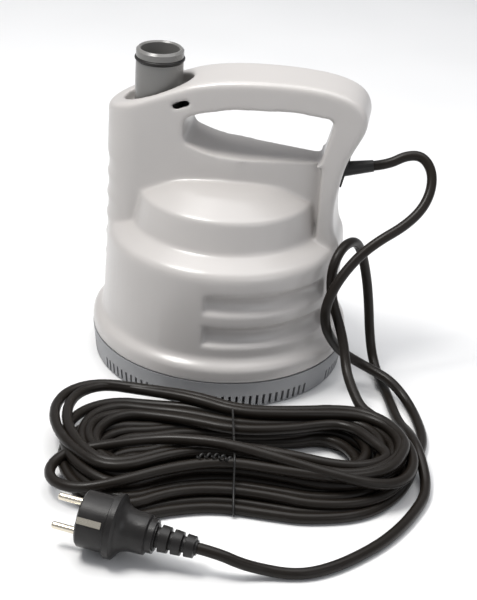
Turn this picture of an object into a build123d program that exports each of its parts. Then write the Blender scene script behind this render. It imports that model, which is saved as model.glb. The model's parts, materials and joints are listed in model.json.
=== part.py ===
"""Submersible drain pump with a carrying handle, an outlet spigot and a mains lead.

Millimetres, +Z up. The origin is the centre of the round base, on the floor. The outlet
is on the -X side, the lead leaves the rear post of the handle on the +X side, and the
front is -Y.
"""
from build123d import *
import math
import os

os.makedirs("parts", exist_ok=True)

# ---------------------------------------------------------------- driving dimensions
BASE_R = 97.0            # strainer base at the floor
SEAM_R = 99.5            # strainer base and housing where they meet
SEAM_Z = 22.0
WALL_R = 92.0            # round body above the flange
LEDGE_R = 90.0           # shoulder of the round body
LEDGE_Z = 105.0
DRUM_R = 67.5            # drum above the shoulder
DRUM_Z = 138.0
ROOF_Z = 158.0           # crown of the drum, inside the fin
WALL = 3.0               # moulded wall of the housing

COLUMN_X = -66.0         # centre of the outlet column's round end
COLUMN_R = 27.0
FIN_END_HALF = 22.0      # half thickness of the fin at its rear end
FIN_END_X = 110.0
GRIP_FILLET = 5.0

OUTLET_X = -56.0         # axis of the riser tube
OUTLET_R = 17.8
OUTLET_BORE_R = 14.4
OUTLET_TOP = 243.0
WELL_Z = 213.5           # height of the column's sloping top on the riser's axis
WELL_SLOPE = 22.2        # degrees, rising towards the handle
WELL_DEPTH = 9.0

FLUTE_ZS = (82.0, 56.5)  # two long recesses in the round body
FLUTE_R = 94.0           # circle of their round section's centre
FLUTE_SECTION = 8.5
FLUTE_SPAN = 66.0        # degrees
FLUTE_STARTS = (-90, 24)
FLUTE_END = 2.0          # degrees of wall left at each end
RIB_PITCH = 17.0         # scallops down the end of the column
RIB_DEPTH = 1.5

MOTOR_X = 13.0           # axis of the motor and the impeller
CAN_R = 46.0
CAN_Z0 = 46.0
CAN_Z1 = 132.0
SHAFT_R = 4.0
RUN_FIT = 0.05           # radial running clearance

GLAND = (86.6, 0.0, 163.5)     # seat of the cord gland on the rear post
LEAD_EXIT = (109.0, 2.0, 168.0)  # where the lead leaves the gland's sleeve
CORD_R = 3.8             # rubber sheathed lead, 7.6 mm across
HANK_H = 26.0


# ---------------------------------------------------------------- strainer base
SLOTS = 15
SLOT_GROUPS = 6
SLOT_PITCH = 3.1         # degrees
PLATE = 3.0              # floor of the strainer base
BOSS_R = 86.0            # circle of the four housing screws
FEET = [(MOTOR_X + 30, 28), (MOTOR_X + 30, -28), (MOTOR_X - 34, 22), (MOTOR_X - 34, -22)]
HEAD_Z = 0.8             # underside of the screw heads, inside the base
M4_R = 2.0
M4_HEAD_R = 3.8
SLOT_ARC = (SLOTS - 1) * SLOT_PITCH

with BuildPart() as strainer_base:
    with BuildSketch(Plane.XZ):
        with BuildLine():
            Polyline((0, 0), (BASE_R - 1, 0), (BASE_R, 1), (SEAM_R, SEAM_Z),
                     (SEAM_R - 3.2, SEAM_Z), (SEAM_R - 3.2, SEAM_Z + 4), (SEAM_R - 5, SEAM_Z + 4),
                     (BASE_R - 3, PLATE), (0, PLATE), close=True)
        make_face()
    revolve(axis=Axis.Z)
    with BuildSketch(Plane.XY.offset(PLATE)):
        with PolarLocations(BOSS_R, 4, start_angle=45):
            Circle(5.5)
    extrude(amount=SEAM_Z - PLATE)
    with BuildSketch(Plane.XY.offset(PLATE)):
        with Locations(*FEET):
            Circle(5.5)
    extrude(amount=6)
    with Locations((0, 0, 6)):
        for group in range(SLOT_GROUPS):
            with PolarLocations(BASE_R, SLOTS, start_angle=group * 60 - SLOT_ARC / 2,
                                angular_range=SLOT_ARC, endpoint=True):
                Box(9, 2.1, 9, mode=Mode.SUBTRACT)
    with BuildSketch(Plane.XY):
        with PolarLocations(BOSS_R, 4, start_angle=45):
            Circle(M4_HEAD_R + 0.3)
        with Locations(*FEET):
            Circle(M4_HEAD_R + 0.3)
    extrude(amount=HEAD_Z + 2.8, mode=Mode.SUBTRACT)
    with BuildSketch(Plane.XY):
        with PolarLocations(BOSS_R, 4, start_angle=45):
            Circle(M4_R + 0.1)
        with Locations(*FEET):
            Circle(M4_R + 0.1)
    extrude(amount=SEAM_Z + 1, mode=Mode.SUBTRACT)


def screws(places, head_z, shank, up=True):
    """Pan-head M4 screws, head at head_z and shank going up or down."""
    way = 1 if up else -1
    with BuildPart() as group:
        with BuildSketch(Plane.XY.offset(head_z)):
            with Locations(*places):
                Circle(M4_HEAD_R)
        extrude(amount=2.8 * way)
        with BuildSketch(Plane.XY.offset(head_z)):
            with Locations(*places):
                Circle(M4_R - 0.05)
        extrude(amount=(2.8 + shank) * way)
        with BuildSketch(Plane.XY.offset(head_z)):
            with Locations(*places):
                Rectangle(4.6, 0.9)
                Rectangle(0.9, 4.6)
        extrude(amount=1.2 * way, mode=Mode.SUBTRACT)
    return group


boss_places = [(BOSS_R * math.cos(math.radians(a)), BOSS_R * math.sin(math.radians(a)))
               for a in (45, 135, 225, 315)]
base_screws = screws(boss_places, HEAD_Z, 34)
foot_screws = screws(FEET, HEAD_Z, 12)

# ---------------------------------------------------------------- housing
FIN_BACK = [(-12, 228.5), (20, 232), (55, 232.2), (82, 228.5), (98, 219.5), (102.5, 207),
            (97.5, 191.5), (90, 174), (85.5, 152), (84, 134), (86, 118)]


def fin_outline(inset):
    """Side view of the fin: sloping column top, grip, rear post. Inset for the inside."""
    slope = math.tan(math.radians(WELL_SLOPE))
    drop = inset / math.cos(math.radians(WELL_SLOPE))
    left = (-100 + inset, WELL_Z - drop + (-100 + inset - OUTLET_X) * slope)
    ends = [(-34, WELL_Z - drop + (-34 - OUTLET_X) * slope), (91 - inset, 92)]
    outer = [ends[0]] + FIN_BACK + [ends[1]]
    knots = []
    for before, point, after in zip(outer, FIN_BACK, outer[2:]):
        run = Vector(after) - Vector(before)
        inward = Vector(run.Y, -run.X).normalized()
        knots.append(Vector(point) + inward * inset)
    with BuildSketch(Plane.XZ) as outline:
        with BuildLine():
            Line((left[0], 34), left)
            Line(left, ends[0])
            Spline(ends[0], *knots, ends[1], tangents=[(1, slope), (0, -1)])
            Line(ends[1], (ends[1][0], 34))
            Line((ends[1][0], 34), (left[0], 34))
        make_face()
    return outline


fin_side = fin_outline(0)

with BuildSketch(Plane.XZ) as grip_side:
    with BuildLine():
        FilletPolyline((-32, 180), (-12, 173), (15, 171), (70, 171), (79, 209), (50, 212), (5, 209.5),
                       (-20, 204), (-32, 199), radius=[8, 60, 40, 6, 5, 40, 60, 40, 8], close=True)
    make_face()


def fin_plan(column_r, end_half):
    """Plan of the fin: the round end of the column, tapering to the rear post."""
    with BuildSketch(Plane.XY) as plan:
        with Locations((COLUMN_X, 0)):
            Circle(column_r)
        with Locations((FIN_END_X, end_half - 0.5), (FIN_END_X, 0.5 - end_half)):
            Circle(0.5)
        make_hull()
    return plan


def web_recess(depth):
    """Plan of the hollows that thin the fin between the column and the rear post."""
    with BuildSketch(Plane.XY.offset(60)) as plan:
        for side in (-1, 1):
            with BuildLine():
                Polyline((0, side * (26.5 - depth)), (72 + depth, side * (11 - depth)),
                         (72 + depth, side * 30), (0, side * 30), close=True)
            make_face()
    return plan


WELL_PLANE = Plane(origin=(OUTLET_X, 0, WELL_Z),
                   x_dir=(math.cos(math.radians(WELL_SLOPE)), 0, math.sin(math.radians(WELL_SLOPE))),
                   z_dir=(-math.sin(math.radians(WELL_SLOPE)), 0, math.cos(math.radians(WELL_SLOPE))))
GLAND_TILT = 12.0        # degrees, the rear post leans back where the lead comes out
gland_plane = Plane(origin=GLAND, x_dir=(0, 1, 0),
                    z_dir=(math.cos(math.radians(GLAND_TILT)), 0, -math.sin(math.radians(GLAND_TILT))))
sleeve_run = Vector(LEAD_EXIT) - Vector(GLAND)
sleeve_plane = Plane(origin=GLAND, z_dir=sleeve_run)


def flutes(radius, margin):
    """Long recesses bedded in the wall, two on the front and two on the back."""
    cutters = []
    for start in FLUTE_STARTS:
        for z in FLUTE_ZS:
            with BuildPart() as cutter:
                with BuildSketch(Plane.XZ):
                    with Locations((FLUTE_R, z)):
                        Circle(radius)
                revolve(axis=Axis.Z, revolution_arc=FLUTE_SPAN + 2 * margin)
            cutters.append(cutter.part.rotate(Axis.Z, start - margin))
    return cutters


def scallops():
    """Shallow hollows around the end of the column, fading out on its sides."""
    axis_x = COLUMN_X + 3
    reach = axis_x - (COLUMN_X - COLUMN_R)
    with BuildPart() as cutter:
        with BuildSketch(Plane.XZ):
            for row in range(8):
                with Locations((reach + 25 - RIB_DEPTH, 152 - row * RIB_PITCH)):
                    Circle(25)
        revolve(axis=Axis.Z, revolution_arc=160)
    return Pos(axis_x, 0, 0) * cutter.part.rotate(Axis.Z, 100)


with BuildPart() as cavity:
    with BuildSketch(Plane.XZ):
        add(fin_outline(WALL).sketch)
        with BuildSketch(Plane.XZ, mode=Mode.SUBTRACT):
            add(grip_side.sketch)
            offset(amount=WALL, mode=Mode.REPLACE)
    extrude(amount=40, both=True)
    extrude(fin_plan(COLUMN_R - WALL, FIN_END_HALF - WALL).sketch, amount=260, mode=Mode.INTERSECT)
    extrude(web_recess(WALL).sketch, amount=111, mode=Mode.SUBTRACT)
    with BuildSketch(WELL_PLANE.offset(-WELL_DEPTH - WALL)):
        Ellipse(25.5 + WALL + 2, 20 + WALL)
    extrude(amount=40, mode=Mode.SUBTRACT)
    with BuildSketch(Plane.XZ):
        with BuildLine():
            FilletPolyline((0, 0), (SEAM_R - WALL, 0), (SEAM_R - WALL, 31), (WALL_R - WALL, 37),
                           (LEDGE_R - WALL, LEDGE_Z - 3), (DRUM_R + 0.5, 112), (DRUM_R - WALL, 135),
                           (DRUM_R - 6, 138), (0, ROOF_Z - WALL - 1),
                           radius=[1, 5, 4, 7, 4, 2, 2])
            Line((0, ROOF_Z - WALL - 1), (0, 0))
        make_face()
    revolve(axis=Axis.Z)
    for flute in flutes(FLUTE_SECTION + WALL, FLUTE_END):
        add(flute, mode=Mode.SUBTRACT)

with BuildPart() as housing:
    extrude(fin_side.sketch, amount=40, both=True)
    extrude(fin_plan(COLUMN_R, FIN_END_HALF).sketch, amount=260, mode=Mode.INTERSECT)
    rims = housing.edges().filter_by(lambda e: e.bounding_box().max.Z > LEDGE_Z)
    fillet(rims.filter_by(Axis.Z, reverse=True), GRIP_FILLET)
    extrude(web_recess(0).sketch, amount=111, mode=Mode.SUBTRACT)
    extrude(grip_side.sketch, amount=40, both=True, mode=Mode.SUBTRACT)
    add(scallops(), mode=Mode.SUBTRACT)
    with BuildSketch(Plane.XZ):
        with BuildLine():
            FilletPolyline((0, SEAM_Z), (SEAM_R, SEAM_Z), (SEAM_R, 33), (WALL_R, 38.5),
                           (LEDGE_R, LEDGE_Z), (DRUM_R + 4, 114), (DRUM_R, DRUM_Z), (45, 150),
                           (0, ROOF_Z), radius=[0.8, 5, 4, 9, 4, 5, 30])
            Line((0, ROOF_Z), (0, SEAM_Z))
        make_face()
    revolve(axis=Axis.Z)
    for flute in flutes(FLUTE_SECTION, 0):
        add(flute, mode=Mode.SUBTRACT)
    add(cavity.part, mode=Mode.SUBTRACT)
    with BuildSketch(WELL_PLANE):
        Ellipse(25.5 / math.cos(math.radians(WELL_SLOPE)), 20)
    extrude(amount=-WELL_DEPTH, mode=Mode.SUBTRACT)
    with BuildSketch(Plane.XY.offset(150)):
        with Locations((OUTLET_X, 0)):
            Circle(OUTLET_R + 0.4)
    extrude(amount=100, mode=Mode.SUBTRACT)
    with BuildSketch(Plane.XZ.offset(20)):
        with Locations(Location((-34.5, 209.5), 19)):
            SlotOverall(13, 4)
    extrude(amount=12, mode=Mode.SUBTRACT)
    with BuildSketch(Plane.XY.offset(SEAM_Z)):
        with Locations(*boss_places):
            Circle(5.5)
    extrude(amount=22)
    with BuildSketch(Plane.XY.offset(SEAM_Z)):
        with Locations(*boss_places):
            Circle(M4_R)
    extrude(amount=18, mode=Mode.SUBTRACT)
    with BuildSketch(gland_plane):
        RectangleRounded(21, 24, 4)
    extrude(amount=6, mode=Mode.SUBTRACT)
    with BuildSketch(sleeve_plane.offset(-9)):
        Circle(7.2)
    extrude(amount=18, mode=Mode.SUBTRACT)

# ---------------------------------------------------------------- pump chamber
def volute_hull(grow):
    """Plan of the pump chamber: the impeller's circle drawn out to the riser."""
    with BuildSketch(Plane.XY) as plan:
        with Locations((MOTOR_X, 0)):
            Circle(44 + grow)
        with Locations((OUTLET_X, 0)):
            Circle(21 + grow)
        make_hull()
    return plan.sketch


FLANGE = 7.0             # rim of the chamber, for the cover's screws
COVER_Z = 14.0           # suction cover, chamber and its roof, from below
CHAMBER_Z = 17.0
ROOF_Z0 = 37.0
ROOF_Z1 = 40.0
SOCKET_R = 18.1
rim_places = [(MOTOR_X + 47.5 * math.cos(math.radians(a)), 47.5 * math.sin(math.radians(a)))
              for a in (-90, -25, 25, 90)] + [(OUTLET_X - 24.5, 0), (-36, 33), (-36, -33)]
LUG_R = 50.9             # circle of the four motor screws
motor_places = [(MOTOR_X + LUG_R * math.cos(math.radians(a)), LUG_R * math.sin(math.radians(a)))
                for a in (45, 135, 225, 315)]

with BuildPart() as suction_cover:
    extrude(Plane.XY.offset(COVER_Z) * volute_hull(FLANGE), amount=CHAMBER_Z - COVER_Z)
    with BuildSketch(Plane.XY.offset(9)):
        with Locations(*FEET):
            Circle(5)
        with Locations((MOTOR_X, 0)):
            Circle(16)
    extrude(amount=COVER_Z - 9)
    with BuildSketch(Plane.XY.offset(9)):
        with Locations((MOTOR_X, 0)):
            Circle(13)
    extrude(amount=9, mode=Mode.SUBTRACT)
    with BuildSketch(Plane.XY.offset(9)):
        with Locations(*FEET):
            Circle(M4_R)
    extrude(amount=6.9, mode=Mode.SUBTRACT)
    with BuildSketch(Plane.XY.offset(COVER_Z)):
        with Locations(*rim_places):
            Circle(M4_R + 0.1)
    extrude(amount=4, mode=Mode.SUBTRACT)

with BuildPart() as volute:
    extrude(Plane.XY.offset(CHAMBER_Z) * volute_hull(FLANGE), amount=3)
    extrude(Plane.XY.offset(CHAMBER_Z) * volute_hull(0), amount=ROOF_Z1 - CHAMBER_Z)
    with BuildSketch(Plane.XY.offset(CHAMBER_Z)):
        with Locations(*rim_places):
            Circle(3.6)
    extrude(amount=9)
    with BuildSketch(Plane.XY.offset(CHAMBER_Z + 3)):
        with Locations(*motor_places):
            Circle(5.2)
        with Locations((MOTOR_X, 0)):
            with PolarLocations(LUG_R - 5, 4, start_angle=45):
                Rectangle(12, 6)
    extrude(amount=ROOF_Z1 - CHAMBER_Z - 3)
    with BuildSketch(Plane.XY.offset(ROOF_Z1)):
        with Locations((OUTLET_X, 0)):
            Circle(SOCKET_R + 1.8)
    extrude(amount=16)
    extrude(Plane.XY.offset(CHAMBER_Z) * volute_hull(-3), amount=ROOF_Z0 - CHAMBER_Z,
            mode=Mode.SUBTRACT)
    with BuildSketch(Plane.XY.offset(ROOF_Z0 + 2)):
        with Locations((OUTLET_X, 0)):
            Circle(SOCKET_R)
    extrude(amount=30, mode=Mode.SUBTRACT)
    with BuildSketch(Plane.XY.offset(ROOF_Z0)):
        with Locations((OUTLET_X, 0)):
            Circle(OUTLET_BORE_R)
        with Locations((MOTOR_X, 0)):
            Circle(12)
    extrude(amount=5, mode=Mode.SUBTRACT)
    with BuildSketch(Plane.XY.offset(CHAMBER_Z)):
        with Locations(*rim_places):
            Circle(M4_R)
    extrude(amount=8, mode=Mode.SUBTRACT)
    with BuildSketch(Plane.XY.offset(ROOF_Z1)):
        with Locations(*motor_places):
            Circle(M4_R)
    extrude(amount=-16, mode=Mode.SUBTRACT)
    extrude(Plane.XY.offset(CHAMBER_Z) * volute_hull(-0.8), amount=1.5, mode=Mode.SUBTRACT)

with BuildPart() as cover_gasket:
    extrude(Plane.XY.offset(CHAMBER_Z) * volute_hull(-0.8), amount=1.5)
    extrude(Plane.XY.offset(CHAMBER_Z) * volute_hull(-3), amount=1.5, mode=Mode.SUBTRACT)

cover_screws = screws(rim_places, COVER_Z - 2.8, 10)
motor_screws = screws(motor_places, CAN_Z0 + 2 + 2.8, 20, up=False)

# ---------------------------------------------------------------- rotor
AXIS = Plane(origin=(MOTOR_X, 0, 0))

with BuildPart() as shaft:
    with BuildSketch(AXIS.offset(18)):
        Circle(3)
    extrude(amount=6)
    with BuildSketch(AXIS.offset(22)):
        Circle(SHAFT_R)
    extrude(amount=96)
    chamfer(shaft.edges().filter_by(GeomType.CIRCLE).group_by(Axis.Z)[-1], 0.6)

with BuildSketch() as blade:
    with BuildLine():
        ThreePointArc((7, 0), (19, 7.5), (29, 11))
        Line((29, 11), (30.2, 8.6))
        ThreePointArc((30.2, 8.6), (19.6, 5), (7, -2.6))
        Line((7, -2.6), (7, 0))
    make_face()

with BuildPart() as impeller:
    with BuildSketch(AXIS.offset(31)):
        Circle(32)
    extrude(amount=2.2)
    with BuildSketch(AXIS.offset(22)):
        Circle(7.5)
    extrude(amount=12)
    with BuildSketch(AXIS.offset(18)):
        with PolarLocations(0, 6):
            add(blade.sketch)
    extrude(amount=13.5)
    with BuildSketch(AXIS.offset(20)):
        Circle(SHAFT_R)
    extrude(amount=20, mode=Mode.SUBTRACT)

with BuildPart() as impeller_nut:
    with BuildSketch(AXIS.offset(18.6)):
        RegularPolygon(5.6, 6)
        Circle(3, mode=Mode.SUBTRACT)
    extrude(amount=3.4)

with BuildPart() as rotor_core:
    with BuildSketch(AXIS.offset(62)):
        Circle(22)
    extrude(amount=36)
    for z in (59, 98):
        with BuildSketch(AXIS.offset(z)):
            Circle(21)
            Circle(15, mode=Mode.SUBTRACT)
        extrude(amount=3)
    with BuildSketch(AXIS.offset(62)):
        Circle(SHAFT_R)
    extrude(amount=36, mode=Mode.SUBTRACT)

# ---------------------------------------------------------------- motor
STATOR_SLOTS = 18

with BuildPart() as stator_core:
    with BuildSketch(AXIS.offset(62)):
        Circle(CAN_R - 2.1)
        Circle(22.6, mode=Mode.SUBTRACT)
        with PolarLocations(31.5, STATOR_SLOTS):
            Rectangle(11, 4.6, mode=Mode.SUBTRACT)
        with PolarLocations(24.5, STATOR_SLOTS):
            Rectangle(6, 1.6, mode=Mode.SUBTRACT)
    extrude(amount=36)

with BuildPart() as windings:
    with BuildSketch(AXIS.offset(58)):
        with PolarLocations(31.6, STATOR_SLOTS):
            Rectangle(10.4, 4.2)
    extrude(amount=44)
    for z in (56, 98.3):
        with BuildSketch(AXIS.offset(z)):
            Circle(37)
            Circle(26, mode=Mode.SUBTRACT)
        extrude(amount=5.6)
    fillet(windings.edges().filter_by(GeomType.CIRCLE).group_by(Axis.Z)[0], 1.5)
    fillet(windings.edges().filter_by(GeomType.CIRCLE).group_by(Axis.Z)[-1], 1.5)

with BuildPart() as motor_plate:
    with BuildSketch(AXIS.offset(ROOF_Z1)):
        Circle(CAN_R)
        with PolarLocations(LUG_R, 4, start_angle=45):
            Circle(5.2)
        with PolarLocations(LUG_R - 6, 4, start_angle=45):
            Rectangle(12, 8)
    extrude(amount=CAN_Z0 - ROOF_Z1)
    with BuildSketch(AXIS.offset(CAN_Z0)):
        Circle(CAN_R - 2.1)
    extrude(amount=3.5)
    with BuildSketch(AXIS.offset(CAN_Z0)):
        Circle(15)
    extrude(amount=9.5)
    for z, radius, depth in ((ROOF_Z1, 10, 5.5), (45, 6.5, 5), (49, 11, 10)):
        with BuildSketch(AXIS.offset(z)):
            Circle(radius)
        extrude(amount=depth, mode=Mode.SUBTRACT)
    with BuildSketch(AXIS.offset(ROOF_Z1)):
        with PolarLocations(LUG_R, 4, start_angle=45):
            Circle(M4_R + 0.1)
    extrude(amount=CAN_Z0 - ROOF_Z1, mode=Mode.SUBTRACT)
    with BuildSketch(AXIS.offset(46.7)):
        Circle(CAN_R)
        Circle(CAN_R - 3.9, mode=Mode.SUBTRACT)
    extrude(amount=1.8, mode=Mode.SUBTRACT)

with BuildPart() as can_seal:
    with BuildSketch(AXIS.offset(46.8)):
        Circle(CAN_R - 2.05)
        Circle(CAN_R - 3.85, mode=Mode.SUBTRACT)
    extrude(amount=1.6)
    fillet(can_seal.edges().filter_by(GeomType.CIRCLE), 0.5)

with BuildPart() as shaft_seal:
    with BuildSketch(AXIS.offset(ROOF_Z1 + 0.2)):
        Circle(10)
        Circle(SHAFT_R + RUN_FIT, mode=Mode.SUBTRACT)
    extrude(amount=5)
    fillet(shaft_seal.edges().filter_by(GeomType.CIRCLE), 0.6)


def bearing(z):
    """Deep-groove bearing, 8 x 22 x 7."""
    with BuildPart() as ring:
        with BuildSketch(AXIS.offset(z)):
            Circle(11)
            Circle(SHAFT_R + RUN_FIT, mode=Mode.SUBTRACT)
        extrude(amount=7)
        for face_z in (z, z + 6.4):
            with BuildSketch(AXIS.offset(face_z)):
                Circle(9.2)
                Circle(6, mode=Mode.SUBTRACT)
            extrude(amount=0.6, mode=Mode.SUBTRACT)
    return ring


lower_bearing = bearing(49)
upper_bearing = bearing(109)

with BuildPart() as upper_bracket:
    with BuildSketch(AXIS.offset(105)):
        Circle(CAN_R - 2.1)
        with PolarLocations(31, 6):
            Circle(5, mode=Mode.SUBTRACT)
    extrude(amount=3)
    with BuildSketch(AXIS.offset(105)):
        Circle(14)
    extrude(amount=11)
    with BuildSketch(AXIS.offset(109)):
        Circle(11)
    extrude(amount=10, mode=Mode.SUBTRACT)
    with BuildSketch(AXIS.offset(100)):
        Circle(6)
    extrude(amount=10, mode=Mode.SUBTRACT)

CAN_ENTRY = (MOTOR_X + 24, 0)

with BuildPart() as motor_can:
    with BuildSketch(AXIS.offset(CAN_Z0)):
        Circle(CAN_R)
    extrude(amount=CAN_Z1 - CAN_Z0)
    fillet(motor_can.edges().group_by(Axis.Z)[-1], 4)
    with BuildSketch(AXIS.offset(CAN_Z0)):
        Circle(CAN_R)
        with PolarLocations(LUG_R, 4, start_angle=45):
            Circle(5.2)
        with PolarLocations(LUG_R - 6, 4, start_angle=45):
            Rectangle(12, 8)
    extrude(amount=2)
    with BuildSketch(AXIS.offset(CAN_Z0)):
        Circle(CAN_R - 2)
    extrude(amount=CAN_Z1 - CAN_Z0 - 2, mode=Mode.SUBTRACT)
    with BuildSketch(AXIS.offset(CAN_Z0)):
        with PolarLocations(LUG_R, 4, start_angle=45):
            Circle(M4_R + 0.1)
    extrude(amount=5, mode=Mode.SUBTRACT)
    with BuildSketch(Plane.XY.offset(120)):
        with Locations(CAN_ENTRY):
            Circle(6.2)
    extrude(amount=20, mode=Mode.SUBTRACT)

with BuildPart() as run_capacitor:
    with BuildSketch(AXIS.offset(108)):
        with Locations((0, 29)):
            RectangleRounded(42, 13, 1.5)
    extrude(amount=19)
    fillet(run_capacitor.edges().group_by(Axis.Z)[-1], 1)

with BuildPart() as terminal_block:
    with BuildSketch(AXIS.offset(108)):
        with Locations((0, -29)):
            Rectangle(32, 11)
    extrude(amount=9)
    with BuildSketch(AXIS.offset(117)):
        with Locations((-10, -29), (0, -29), (10, -29)):
            Circle(2.5)
    extrude(amount=-6, mode=Mode.SUBTRACT)

with BuildPart() as thermal_cutout:
    with BuildSketch(AXIS.offset(108)):
        with Locations((-30, 0)):
            RectangleRounded(8, 17, 1)
    extrude(amount=5)
    with BuildSketch(AXIS.offset(108)):
        with Locations((-30, 0)):
            RectangleRounded(5, 9, 1)
    extrude(amount=7)

# ---------------------------------------------------------------- outlet
RING_Z = 235.2           # sealing ring on the spigot
SOCKET_SEAL_Z = 49.0


RISER = Plane(origin=(OUTLET_X, 0, 0), x_dir=(1, 0, 0), z_dir=(0, -1, 0))
RISER_AXIS = Axis((OUTLET_X, 0, 0), (0, 0, 1))

with BuildPart() as outlet_tube:
    with BuildSketch(RISER):
        with BuildLine():
            Polyline((OUTLET_BORE_R - 0.3, 39), (OUTLET_R, 39), (OUTLET_R, SOCKET_SEAL_Z - 1.4),
                     (15.9, SOCKET_SEAL_Z - 1.4), (15.9, SOCKET_SEAL_Z + 1.4),
                     (OUTLET_R, SOCKET_SEAL_Z + 1.4), (OUTLET_R, RING_Z - 1.7),
                     (16, RING_Z - 1.7), (16, RING_Z + 1.7), (OUTLET_R, RING_Z + 1.7),
                     (OUTLET_R, OUTLET_TOP - 1.6), (OUTLET_R - 1.6, OUTLET_TOP),
                     (OUTLET_BORE_R + 1, OUTLET_TOP), (OUTLET_BORE_R, OUTLET_TOP - 1),
                     (OUTLET_BORE_R, OUTLET_TOP - 31), (OUTLET_BORE_R - 0.3, OUTLET_TOP - 31.5), close=True)
        make_face()
    revolve(axis=RISER_AXIS)

with BuildPart() as outlet_ring:
    with BuildSketch(RISER):
        with Locations((17.4, RING_Z)):
            Circle(1.4)
    revolve(axis=RISER_AXIS)

with BuildPart() as riser_seal:
    with BuildSketch(RISER):
        with Locations((17, SOCKET_SEAL_Z)):
            Circle(1.1)
    revolve(axis=RISER_AXIS)

# ---------------------------------------------------------------- cord gland and inner lead
SLEEVE = sleeve_run.length

with BuildPart() as cord_gland:
    with BuildSketch(gland_plane):
        RectangleRounded(20.6, 23.6, 3.8)
    extrude(amount=2.6)
    with BuildSketch(sleeve_plane.offset(-7)):
        Circle(6.9)
    extrude(amount=7)
    with BuildSketch(sleeve_plane):
        Circle(5.8)
    with BuildSketch(sleeve_plane.offset(SLEEVE)):
        Circle(4.4)
    loft()
    with BuildSketch(sleeve_plane.offset(-8)):
        Circle(CORD_R + 0.05)
    extrude(amount=SLEEVE + 10, mode=Mode.SUBTRACT)

with BuildPart() as can_grommet:
    for z, radius in ((CAN_Z1 - 4, 8), (CAN_Z1 - 2, 6.2), (CAN_Z1, 8)):
        with BuildSketch(Plane.XY.offset(z)):
            with Locations(CAN_ENTRY):
                Circle(radius)
        extrude(amount=2)
    with BuildSketch(Plane.XY.offset(CAN_Z1 - 5)):
        with Locations(CAN_ENTRY):
            Circle(CORD_R + 0.05)
    extrude(amount=10, mode=Mode.SUBTRACT)


def corner_radii(points):
    """Bend at each inner point: 0.45 of the shorter run over the half turn's tangent."""
    radii = []
    for a, b, c in zip(points, points[1:], points[2:]):
        before = Vector(b) - Vector(a)
        after = Vector(c) - Vector(b)
        turn = math.radians(before.get_angle(after))
        radii.append(0.45 * min(before.length, after.length) / math.tan(turn / 2))
    return radii


def tube(points, radius):
    """Round lead along hand-placed points, bent at every inner point."""
    radii = corner_radii(points)
    with BuildLine() as path:
        FilletPolyline(*points, radius=radii)
    with BuildPart() as lead:
        with BuildSketch(Plane(origin=path.line @ 0, z_dir=path.line % 0)):
            Circle(radius)
        sweep(path=path.line)
    share = lead.part.volume / (math.pi * radius ** 2 * path.wire().length)
    print("tube length", round(path.wire().length), "volume share", round(share, 4),
          "radii", [round(r, 1) for r in radii])
    return lead


inner_lead = tube([LEAD_EXIT, (66.44, -1.8, 159.45), (45, -1, 156), (37, 0, 145), (37, 0, 123)], CORD_R)

with BuildPart() as lead_cores:
    for core in (-1, 0, 1):
        add(tube([(37 + 2 * core, 0, 123.5), (35 + 2 * core, -10, 120.5), (26 + 6 * core, -24, 120.5),
                  (MOTOR_X + 10 * core, -29, 117.8), (MOTOR_X + 10 * core, -29, 112)], 0.8).part)

# ---------------------------------------------------------------- mains lead and plug
LEAD_ROUTE = [LEAD_EXIT, (120.2, 3, 170.25), (132, 7, 177), (144, 9, 177.5), (152.5, 4, 169),
              (154, -5, 157), (149, -16, 145), (137, -26, 134), (121, -35, 125), (108, -41, 114), (98, -49, 102),
              (91, -56, 90), (87, -61, 76), (88, -59, 61), (93, -53, 47), (100, -45, 34),
              (108, -38, 25), (118, -36, 19), (130, -41, 16.5), (141, -48, 14.6), (152, -56, 8),
              (160, -69, 4), (166, -89, 4), (170, -108, 4), (169, -126, 4), (165, -143, 4),
              (157, -158, 6), (146, -168, 8)]
LOOP_ROUTE = [(129, -118, 18), (122, -104, 22), (115, -91, 27), (109, -77, 32), (106, -68, 39),
              (103, -60, 49), (98, -53, 61), (91, -46, 75), (88, -43, 90), (89, -39, 104),
              (94, -28, 113), (101, -13, 112), (106, -2, 101), (110, 4, 85), (114, 5, 67),
              (117, 4, 48), (119.5, 1, 30), (123, -6, 15), (128, -17, 6), (133, -30, 4),
              (140, -52, 4), (146, -74, 4), (152, -95, 6), (158, -113, 12), (162, -126, 15),
              (167, -140, 15), (172, -154, 10), (175, -166, 5), (175, -183, 4), (169, -203, 4),
              (161, -223, 4), (150, -243, 4), (137, -260, 4), (123, -275, 4), (108, -286, 4),
              (94, -290, 4), (79, -292, 6), (64, -296, 11)]
PLUG = (-41.0, -287.0, 23.1)      # centre of the plug's front face
PLUG_WAY = (0.992, -0.11, -0.065)  # from the front face towards the lead
PIN_LINE = (0.11, 0.481, 0.869)   # across the plug through both pins
BOOT_END = 77.0
way = Vector(PLUG_WAY).normalized()
across = way.cross(Vector(PIN_LINE)).normalized()
plug_plane = Plane(origin=PLUG, x_dir=across.cross(way), z_dir=way)
plug_side = Plane(origin=PLUG, x_dir=across.cross(way), z_dir=across * -1)
plug_axis = Axis(PLUG, way)
boot_end = Vector(PLUG) + way * BOOT_END
plug_approach = boot_end + way * 14

cord_lead = tube(LEAD_ROUTE, CORD_R)
cord_loop = tube(LOOP_ROUTE + [tuple(plug_approach), tuple(boot_end)], CORD_R)

with BuildPart() as cord_hank:
    with BuildSketch(Plane.XY):
        with BuildLine():
            FilletPolyline((-97, -150), (-92, -98), (-62, -88), (8, -112), (60, -104), (120, -103),
                           (138, -113), (150, -134), (160, -160), (164, -198), (148, -225), (50, -236),
                           (0, -250), (-50, -257), (-85, -235), (-97, -200), radius=9, close=True)
        make_face()
    extrude(amount=HANK_H)
    fillet(cord_hank.edges().group_by(Axis.Z)[-1], 6)
    fillet(cord_hank.edges().group_by(Axis.Z)[0], 3)

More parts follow.
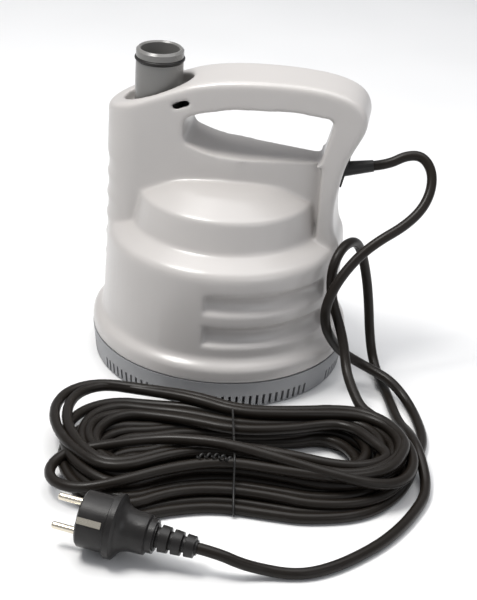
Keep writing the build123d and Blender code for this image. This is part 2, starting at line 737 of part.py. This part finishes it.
TIE_X = 38
with BuildPart() as hank_tie:
    with BuildSketch(Plane.YZ.offset(TIE_X - 1.5)):
        with Locations((-172.5, 14)):
            RectangleRounded(136.5, 28, 8)
            RectangleRounded(133, 24.5, 6.3, mode=Mode.SUBTRACT)
    extrude(amount=3)
    add(tube([(TIE_X, -172, 27.1), (28, -175, 28.4), (18, -173, 28.6), (4, -178, 28)], 1.8).part)

with BuildPart() as plug_body:
    with BuildSketch(plug_side):
        with BuildLine():
            Line((0, 0), (17.6, 0))
            Polyline((17.6, 0), (18.75, 1.2), (18.75, 19), (21.5, 20), (21.5, 24), (19.5, 25.5))
            Spline((19.5, 25.5), (14.4, 31), (13.4, 38), (13.2, 44))
            Polyline((13.2, 44), (11.2, 45), (11.2, 49), (0, 49), (0, 0))
        make_face()
    revolve(axis=plug_axis)
    with BuildSketch(plug_plane.offset(-1)):
        with Locations((0, 22), (0, -22)):
            Rectangle(5, 10.2)
        with Locations((20, 0), (-20, 0)):
            Rectangle(6, 4.6)
    extrude(amount=18, mode=Mode.SUBTRACT)
    with BuildSketch(plug_plane):
        with Locations((9.5, 0), (-9.5, 0)):
            Circle(2.4)
    extrude(amount=8, mode=Mode.SUBTRACT)

with BuildPart() as plug_pins:
    with BuildSketch(plug_plane.offset(8)):
        with Locations((9.5, 0), (-9.5, 0)):
            Circle(2.4)
    extrude(amount=-27)
    tips = plug_pins.edges().filter_by(GeomType.CIRCLE).sort_by(plug_axis)[:2]
    fillet(tips, 1.6)

with BuildPart() as earth_contacts:
    with BuildSketch(plug_plane.offset(0.6)):
        with Locations((0, 17.4), (0, -17.4)):
            Rectangle(4.4, 1)
    extrude(amount=16)

with BuildPart() as plug_boot:
    with BuildSketch(plug_side):
        with BuildLine():
            outline = [(0, 49), (9.2, 49), (9.2, 50)]
            for block in range(3):
                block_z = 52 + 8.5 * block
                block_r = 8.9 - 0.7 * block
                outline += [(block_r - 2.2, block_z - 1.5), (block_r - 2.2, block_z), (block_r, block_z + 0.6),
                            (block_r - 0.4, block_z + 6.4), (block_r - 2.4, block_z + 7)]
            Polyline(*outline, (5, BOOT_END), (0, BOOT_END), close=True)
        make_face()
    revolve(axis=plug_axis)

pieces = dict(
    strainer_base=strainer_base, base_screws=base_screws, foot_screws=foot_screws, housing=housing,
    suction_cover=suction_cover, volute=volute, cover_gasket=cover_gasket, cover_screws=cover_screws,
    motor_screws=motor_screws, shaft=shaft, impeller=impeller, impeller_nut=impeller_nut,
    rotor_core=rotor_core, stator_core=stator_core, windings=windings, motor_plate=motor_plate,
    can_seal=can_seal, shaft_seal=shaft_seal, lower_bearing=lower_bearing,
    upper_bearing=upper_bearing, upper_bracket=upper_bracket, motor_can=motor_can,
    run_capacitor=run_capacitor, terminal_block=terminal_block, thermal_cutout=thermal_cutout,
    outlet_tube=outlet_tube, outlet_ring=outlet_ring, riser_seal=riser_seal, cord_gland=cord_gland,
    can_grommet=can_grommet, inner_lead=inner_lead, lead_cores=lead_cores, cord_lead=cord_lead,
    cord_loop=cord_loop, cord_hank=cord_hank, hank_tie=hank_tie, plug_body=plug_body,
    plug_pins=plug_pins, earth_contacts=earth_contacts, plug_boot=plug_boot)

for name, piece in pieces.items():
    piece.part.label = name
    export_step(piece.part, "parts/" + name + ".step")
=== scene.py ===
"""Submersible drain pump: its camera, mains lead, housing, finishes and studio."""
import bpy
import json
import math
from mathutils import Matrix, Vector


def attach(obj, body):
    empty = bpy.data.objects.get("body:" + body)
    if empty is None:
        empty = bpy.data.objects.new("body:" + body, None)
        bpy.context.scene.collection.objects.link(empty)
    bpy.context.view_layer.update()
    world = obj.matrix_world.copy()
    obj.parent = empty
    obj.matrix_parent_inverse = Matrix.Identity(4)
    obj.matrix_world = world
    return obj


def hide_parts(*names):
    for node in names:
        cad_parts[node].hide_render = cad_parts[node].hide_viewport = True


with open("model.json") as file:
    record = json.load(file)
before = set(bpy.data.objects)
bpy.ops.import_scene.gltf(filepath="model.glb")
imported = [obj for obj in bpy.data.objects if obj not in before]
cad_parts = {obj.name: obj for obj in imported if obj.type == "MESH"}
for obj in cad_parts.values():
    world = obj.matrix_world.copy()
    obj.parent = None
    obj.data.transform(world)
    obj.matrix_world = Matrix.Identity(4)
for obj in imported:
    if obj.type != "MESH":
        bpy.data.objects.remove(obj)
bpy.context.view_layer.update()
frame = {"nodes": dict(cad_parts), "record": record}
nodes = frame["nodes"]
MM = 0.001
CORD_D = 0.0076               # rubber sheathed lead

# ---------------------------------------------------------------- camera
TURN = math.radians(7.0)      # how far the camera stands round to the right
TILT = math.radians(27.56)    # above the horizon
ROLL = math.radians(3.88)
LENS = 96.27                  # millimetres, on a sensor 36 mm wide
CAMERA_PLACE = (0.15132, -1.11426, 0.62828)
forward = Vector((-math.sin(TURN) * math.cos(TILT), math.cos(TURN) * math.cos(TILT), -math.sin(TILT)))
level = Vector((math.cos(TURN), math.sin(TURN), 0))
upward = level.cross(forward)
right = level * math.cos(ROLL) + upward * math.sin(ROLL)
top = upward * math.cos(ROLL) - level * math.sin(ROLL)
camera = bpy.data.objects.new("camera", bpy.data.cameras.new("camera"))
camera.data.sensor_width = 36
camera.data.lens = LENS
camera.data.clip_end = 20
facing = Matrix((right, top, -forward)).transposed().to_4x4()
camera.matrix_world = Matrix.Translation(CAMERA_PLACE) @ facing
bpy.context.collection.objects.link(camera)
bpy.context.scene.camera = camera


# ---------------------------------------------------------------- finishes
def finish_material(name, colour, rough, metal=0.0, coat=0.0, gloss=0.5, grain=0.03,
                    grain_size=900.0, tone=0.06, tone_size=14.0, uneven=0.18, wear=0.0,
                    squash=(1, 1, 1)):
    """Procedural finish: slow tone change, fine surface grain, rubbed and dusty patches."""
    mat = bpy.data.materials.new(name)
    mat.use_nodes = True
    tree = mat.node_tree
    shader = tree.nodes["Principled BSDF"]
    shader.inputs["Metallic"].default_value = metal
    shader.inputs["Specular IOR Level"].default_value = gloss
    shader.inputs["Coat Weight"].default_value = coat
    shader.inputs["Coat Roughness"].default_value = 0.12
    where = tree.nodes.new("ShaderNodeTexCoord")
    stretch = tree.nodes.new("ShaderNodeMapping")
    stretch.inputs["Scale"].default_value = squash
    tree.links.new(where.outputs["Object"], stretch.inputs["Vector"])

    def noise(scale, detail):
        node = tree.nodes.new("ShaderNodeTexNoise")
        node.inputs["Scale"].default_value = scale
        node.inputs["Detail"].default_value = detail
        tree.links.new(stretch.outputs["Vector"], node.inputs["Vector"])
        return node.outputs["Fac"]

    def remap(source, low, high, out_low, out_high):
        node = tree.nodes.new("ShaderNodeMapRange")
        node.inputs["From Min"].default_value = low
        node.inputs["From Max"].default_value = high
        node.inputs["To Min"].default_value = out_low
        node.inputs["To Max"].default_value = out_high
        tree.links.new(source, node.inputs["Value"])
        return node.outputs["Result"]

    slow = noise(tone_size, 4)
    fine = noise(grain_size, 3)
    ramp = tree.nodes.new("ShaderNodeValToRGB")
    ramp.color_ramp.elements[0].position = 0.3
    ramp.color_ramp.elements[1].position = 0.7
    ramp.color_ramp.elements[0].color = (*[c * (1 - tone) for c in colour], 1)
    ramp.color_ramp.elements[1].color = (*[min(1, c * (1 + tone)) for c in colour], 1)
    tree.links.new(slow, ramp.inputs["Fac"])
    base = ramp.outputs["Color"]
    if wear:
        dust = tree.nodes.new("ShaderNodeMix")
        dust.data_type = "RGBA"
        dust.inputs["B"].default_value = (*[0.6 * c + 0.12 for c in colour], 1)
        tree.links.new(remap(noise(tone_size * 5, 8), 0.52, 0.75, 0, wear), dust.inputs["Factor"])
        tree.links.new(base, dust.inputs["A"])
        base = dust.outputs["Result"]
    tree.links.new(base, shader.inputs["Base Color"])
    tree.links.new(remap(noise(tone_size * 3, 2), 0.3, 0.7, rough * (1 - uneven), rough * (1 + uneven)),
                   shader.inputs["Roughness"])
    bump = tree.nodes.new("ShaderNodeBump")
    bump.inputs["Strength"].default_value = grain
    bump.inputs["Distance"].default_value = 0.0004
    tree.links.new(fine, bump.inputs["Height"])
    tree.links.new(bump.outputs["Normal"], shader.inputs["Normal"])
    return mat


FINISHES = {
    "housing_plastic": finish_material("housing_plastic", (0.465, 0.445, 0.43), 0.3, coat=0.15,
                                       grain=0.05, tone=0.025, uneven=0.04),
    "base_plastic": finish_material("base_plastic", (0.25, 0.253, 0.262), 0.42, grain=0.12,
                                    tone=0.05, wear=0.1),
    "tube_plastic": finish_material("tube_plastic", (0.155, 0.152, 0.145), 0.3, coat=0.1, grain=0.06),
    "dark_plastic": finish_material("dark_plastic", (0.014, 0.0135, 0.013), 0.4, gloss=0.35,
                                    grain=0.15, wear=0.06),
    "light_plastic": finish_material("light_plastic", (0.7, 0.69, 0.64), 0.4, grain=0.06),
    "impeller_plastic": finish_material("impeller_plastic", (0.03, 0.03, 0.03), 0.35, grain=0.1,
                                        wear=0.2),
    "rubber": finish_material("rubber", (0.012, 0.011, 0.0105), 0.38, gloss=0.3, grain=0.2, tone=0.15,
                              wear=0.05),
    "lead_rubber": finish_material("lead_rubber", (0.011, 0.0086, 0.0066), 0.36, gloss=0.2,
                                   grain=0.12, tone=0.15, wear=0.03),
    "steel": finish_material("steel", (0.55, 0.55, 0.55), 0.3, metal=1, grain=0.1, wear=0.1),
    "laminations": finish_material("laminations", (0.22, 0.22, 0.24), 0.45, metal=1, grain=0.6,
                                   grain_size=60, squash=(0.05, 0.05, 30), wear=0.2),
    "copper": finish_material("copper", (0.7, 0.3, 0.12), 0.3, metal=1, grain=0.7, grain_size=60,
                              squash=(1, 1, 20), tone=0.2),
    "brass": finish_material("brass", (0.72, 0.55, 0.26), 0.28, metal=1, grain=0.1, wear=0.1),
    "pin_metal": finish_material("pin_metal", (0.74, 0.68, 0.56), 0.25, metal=1, grain=0.12, wear=0.15),
    "aluminium": finish_material("aluminium", (0.6, 0.61, 0.62), 0.42, metal=1, grain=0.3,
                                 grain_size=400, wear=0.1),
}
slots = {entry["node"]: entry["material_slot"] for entry in frame["record"]["subparts"]}
for name, node in nodes.items():
    node.data.materials.clear()
    node.data.materials.append(FINISHES[slots[name]])


def lead(name, points, radius, material):
    """Round lead or wire on the pump that follows control points, in millimetres."""
    curve = bpy.data.curves.new(name, "CURVE")
    curve.dimensions = "3D"
    curve.bevel_depth = radius
    curve.bevel_resolution = 5
    curve.resolution_u = 6
    curve.use_fill_caps = True
    spline = curve.splines.new("NURBS")
    spline.points.add(len(points) - 1)
    for point, place in zip(spline.points, points):
        point.co = (*(Vector(place) * MM), 1)
    spline.order_u = 3
    spline.use_endpoint_u = True
    obj = bpy.data.objects.new(name, curve)
    bpy.context.collection.objects.link(obj)
    obj.data.materials.append(FINISHES[material])
    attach(obj, "pump")
    return obj


# ---------------------------------------------------------------- mains lead
# Routes in millimetres. The lead rests on the floor where its centre is at ON_FLOOR.
ON_FLOOR = 4
LEAD_EXIT = (109, 2, 168)
LEAD_ROUTE = [LEAD_EXIT, (120.2, 3, 170.25), (132, 7, 177), (144, 9, 177.5), (152.5, 4, 169),
              (154, -5, 157), (149, -16, 145), (137, -26, 134), (121, -35, 125), (108, -41, 114),
              (98, -49, 102), (91, -56, 90), (87, -61, 76), (88, -59, 61), (93, -53, 47),
              (100, -45, 34), (108, -38, 25), (118, -36, 19), (130, -41, 16.5), (141, -48, 14.6),
              (152, -56, 8), (160, -69, 4), (166, -89, 4), (170, -108, 4), (169, -126, 4),
              (166, -143, 4)]
LOOP_ROUTE = [(122, -104, 22), (115, -91, 27), (109, -77, 32), (106, -68, 39),
              (103, -60, 49), (98, -53, 61), (91, -46, 75), (88, -43, 90), (89, -39, 104),
              (94, -28, 113), (101, -13, 112), (106, -2, 101), (110, 4, 85), (114, 5, 67),
              (117, 4, 48), (119.5, 1, 30), (123, -6, 15), (128, -17, 6), (133, -30, 4),
              (140, -52, 4), (146, -74, 4), (152, -95, 6), (158, -113, 12), (162, -126, 15),
              (167, -140, 15), (172, -154, 10), (175, -166, 5), (175, -183, 4), (169, -203, 4),
              (161, -223, 4), (150, -243, 4), (137, -260, 4), (123, -275, 4), (108, -286, 4),
              (94, -290, 4), (79, -292, 6), (64, -296, 11)]
PLUG = Vector((-41.0, -287.0, 23.1))
PLUG_WAY = Vector((0.992, -0.11, -0.065)).normalized()
BOOT_END = 77.0               # from the plug's front face to the end of its boot
TIE_X = 38

# The layers of the hank, from the floor up. near and far are the y of the outermost turn's two
# runs at the right fold, the left fold and the tie. left is the x of its left end. Turns are laid
# from nest first, counted inwards, and go in (way 1) or out (way -1).
LAYERS = (
    {"turns": 5, "first": 0, "way": 1, "near": (-229, -261, -229), "far": (-98, -152, -114), "left": -71},
    {"turns": 5, "first": 4, "way": -1, "near": (-218, -246, -216), "far": (-99, -134, -122), "left": -76},
    {"turns": 4, "first": 0, "way": 1, "near": (-207, -229, -203), "far": (-102, -114, -130), "left": -82},
    {"turns": 2, "first": 1, "way": -1, "near": (-196, -212, -190), "far": (-114, -101, -138), "left": -89},
)
PITCH = 7.8                   # from turn to turn in a layer
RISE = 7.1                    # from layer to layer at the tie
FOLD_RISE = 6.1               # from layer to layer in the folds
RIGHT_END = 159.5             # x of the right end of the lowest layer's outermost turn
RIGHT_STEP = 1.5              # the right end stands this much further in on each layer
FOLD_DEPTH = 0.95             # of the fold's half width, from its end to its centre
LEAN = 0.11                   # how far the left folds lean forwards
LOOSE = 2.2                   # how unevenly the strands lie, away from the tie
LAST_SHARE = 0.35             # of a pitch, how far the last turn of a layer moves in or out
CAP = (90, 54, 18, -18, -54, -90)     # degrees round the fold at each end
STATIONS = 18                 # control points of one turn


def hank_point(layer, turn, station, nest):
    """One control point of a turn of the hank. A turn runs clockwise, seen from above."""
    row = LAYERS[layer]
    inward = nest * PITCH
    near_right, near_left, near_tie = [y + inward for y in row["near"]]
    far_right, far_left, far_tie = [y - inward for y in row["far"]]
    low = ON_FLOOR + FOLD_RISE * layer
    high = ON_FLOOR + RISE * layer
    half_right = (far_right - near_right) / 2
    half_left = (far_left - near_left) / 2
    right_x = RIGHT_END - inward - RIGHT_STEP * layer - half_right * FOLD_DEPTH
    left_x = row["left"] + inward + half_left * FOLD_DEPTH
    right_fold = []
    for degrees in CAP:
        bend = math.radians(degrees)
        y = (far_right + near_right) / 2 + half_right * math.sin(bend)
        right_fold.append((right_x + half_right * math.cos(bend), y, low))
    left_fold = []
    for degrees in reversed(CAP):
        bend = math.radians(degrees)
        out = half_left * math.cos(bend)
        y = (far_left + near_left) / 2 + half_left * math.sin(bend)
        left_fold.append((left_x - out, y - LEAN * layer * (half_left - out), low))
    near_run = [(76, near_right * 0.35 + near_tie * 0.65, high), (TIE_X, near_tie, high),
                (5, near_left * 0.4 + near_tie * 0.6, high)]
    far_run = [(2, far_left * 0.35 + far_tie * 0.65, high), (TIE_X, far_tie, high),
               (76, far_right * 0.35 + far_tie * 0.65, high)]
    shape = right_fold[3:] + near_run + left_fold + far_run + right_fold[:3]
    x, y, z = shape[station]
    loose = LOOSE * min(1.0, abs(x - TIE_X) / 100)
    lift = 0.3 * loose * math.sin(turn * 3.1 + station * 1.1) if layer else 0
    return (x + loose * math.sin(turn * 2.3 + station * 0.9),
            y + loose * math.cos(turn * 1.7 + station * 0.8), z + lift)


def hank_points():
    """Control points of all the turns, layer by layer. The last turn of a layer climbs."""
    points = []
    turn = 0
    for layer, row in enumerate(LAYERS):
        for step in range(row["turns"]):
            last = step == row["turns"] - 1
            for station in range(STATIONS):
                share = (LAST_SHARE if last else 1) * station / STATIONS
                climb = max(0, station - 11) / 7 if last and layer < len(LAYERS) - 1 else 0
                x, y, z = hank_point(layer, turn, station, row["first"] + row["way"] * (step + share))
                points.append((x, y, z + RISE * climb))
            turn += 1
    return points


OVER_TIE = [(158, -158, 24), (150, -186, 24), (122, -205, 25), (80, -207, 26), (TIE_X, -206, 27),
            (2, -221, 25), (-30, -239, 20), (-54, -247, 16), (-74, -240, 14), (-81, -222, 13),
            (-74, -205, 15), (-55, -199, 19), (-27, -197, 27), (0, -196, 33), (TIE_X, -198, 36),
            (80, -202, 31), (115, -206, 27), (142, -203, 22), (158, -190, 18), (165, -172, 17),
            (164, -152, 18), (155, -134, 19), (142, -120, 20), (131, -112, 21)]
boot_end = PLUG + PLUG_WAY * BOOT_END
into_plug = [boot_end + PLUG_WAY * 14, boot_end - PLUG_WAY * 2]
route = LEAD_ROUTE + hank_points() + OVER_TIE + LOOP_ROUTE + into_plug
cord = lead("mains_lead", route, CORD_D / 2, "lead_rubber")
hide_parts("cord_lead", "cord_loop", "cord_hank")

# ---------------------------------------------------------------- wire tie
TIE_WIRE = 0.0008             # radius of the wire, in metres
TIE_LEAN = 0.178              # the ring stands askew over the hank
TIE_RING = ((-180, 31), (-160, 30.4), (-146, 30), (-136, 26.5), (-126, 20.5), (-119.5, 13),
            (-113.8, 5.5), (-115, 0.9), (-150, 0.8), (-200, 0.8), (-231, 0.9), (-234.6, 4),
            (-231, 8.5), (-221, 14), (-214, 22), (-209.5, 30), (-204, 31.4), (-192, 30.8),
            (-181, 31.1))     # y and z
TWIST_STEPS = 40
TWIST_R = 1.5


def twist_points():
    """Helix of the tie's twisted ends, lying along the top of the hank."""
    points = []
    for step in range(TWIST_STEPS):
        angle = step * 0.8
        reach = step / (TWIST_STEPS - 1)
        points.append((TIE_X + 5 - 24 * reach,
                       -212 + 3 * math.sin(3 * reach) + TWIST_R * math.cos(angle),
                       32.5 + TWIST_R * math.sin(angle) - 1.5 * reach))
    return points


ring = [(TIE_X - TIE_LEAN * (y + 170), y, z) for y, z in TIE_RING]
tie = lead("tie_wire", ring, TIE_WIRE, "dark_plastic")
lead("tie_twist", twist_points(), TIE_WIRE, "dark_plastic")
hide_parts("hank_tie")


# ---------------------------------------------------------------- housing with moulded edges
VOXEL = 0.0011
SMOOTHING = 18                # rounds, which soften the edges


def soft_copy(name, voxel, rounds):
    """Copy of a CAD piece whose edges are rounded over as a moulding's are."""
    source = nodes[name]
    copy = bpy.data.objects.new(name + "_moulded", source.data.copy())
    copy.matrix_world = source.matrix_world.copy()
    bpy.context.collection.objects.link(copy)
    remesh = copy.modifiers.new("skin", "REMESH")
    remesh.mode = "VOXEL"
    remesh.voxel_size = voxel
    remesh.use_smooth_shade = True
    smooth = copy.modifiers.new("soft edges", "SMOOTH")
    smooth.factor = 0.5
    smooth.iterations = rounds
    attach(copy, "pump")
    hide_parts(name)


soft_copy("housing", VOXEL, SMOOTHING)

# ---------------------------------------------------------------- studio
floor_mat = finish_material("floor", (0.8, 0.8, 0.8), 0.55, grain=0.0, tone=0.01, tone_size=2)
bpy.ops.mesh.primitive_plane_add(size=14, location=(0, 0, 0))
floor = bpy.context.object
floor.name = "studio_floor"
floor.data.materials.append(floor_mat)


def area_light(name, place, target, size, power, colour=(1, 1, 1)):
    """Soft rectangular lamp, aimed from place at target, in metres and watts."""
    data = bpy.data.lights.new(name, "AREA")
    data.shape = "RECTANGLE"
    data.size, data.size_y = size
    data.energy = power
    data.color = colour
    lamp = bpy.data.objects.new(name, data)
    lamp.location = place
    lamp.rotation_euler = (Vector(target) - Vector(place)).to_track_quat("-Z", "Y").to_euler()
    bpy.context.collection.objects.link(lamp)


area_light("key", (-0.55, -0.35, 1.6), (0.05, 0, 0), (0.5, 0.5), 21, (1, 0.985, 0.96))
area_light("overhead", (0.1, 0.2, 1.5), (0, 0, 0), (1.6, 1.2), 16)
area_light("fill", (1.4, -1.2, 0.8), (0, 0, 0.1), (1.0, 1.0), 4, (0.95, 0.97, 1))
world = bpy.data.worlds.new("studio")
world.use_nodes = True
world.node_tree.nodes["Background"].inputs["Color"].default_value = (0.93, 0.95, 1, 1)
world.node_tree.nodes["Background"].inputs["Strength"].default_value = 0.42
bpy.context.scene.world = world
bpy.context.scene.view_settings.view_transform = "Standard"
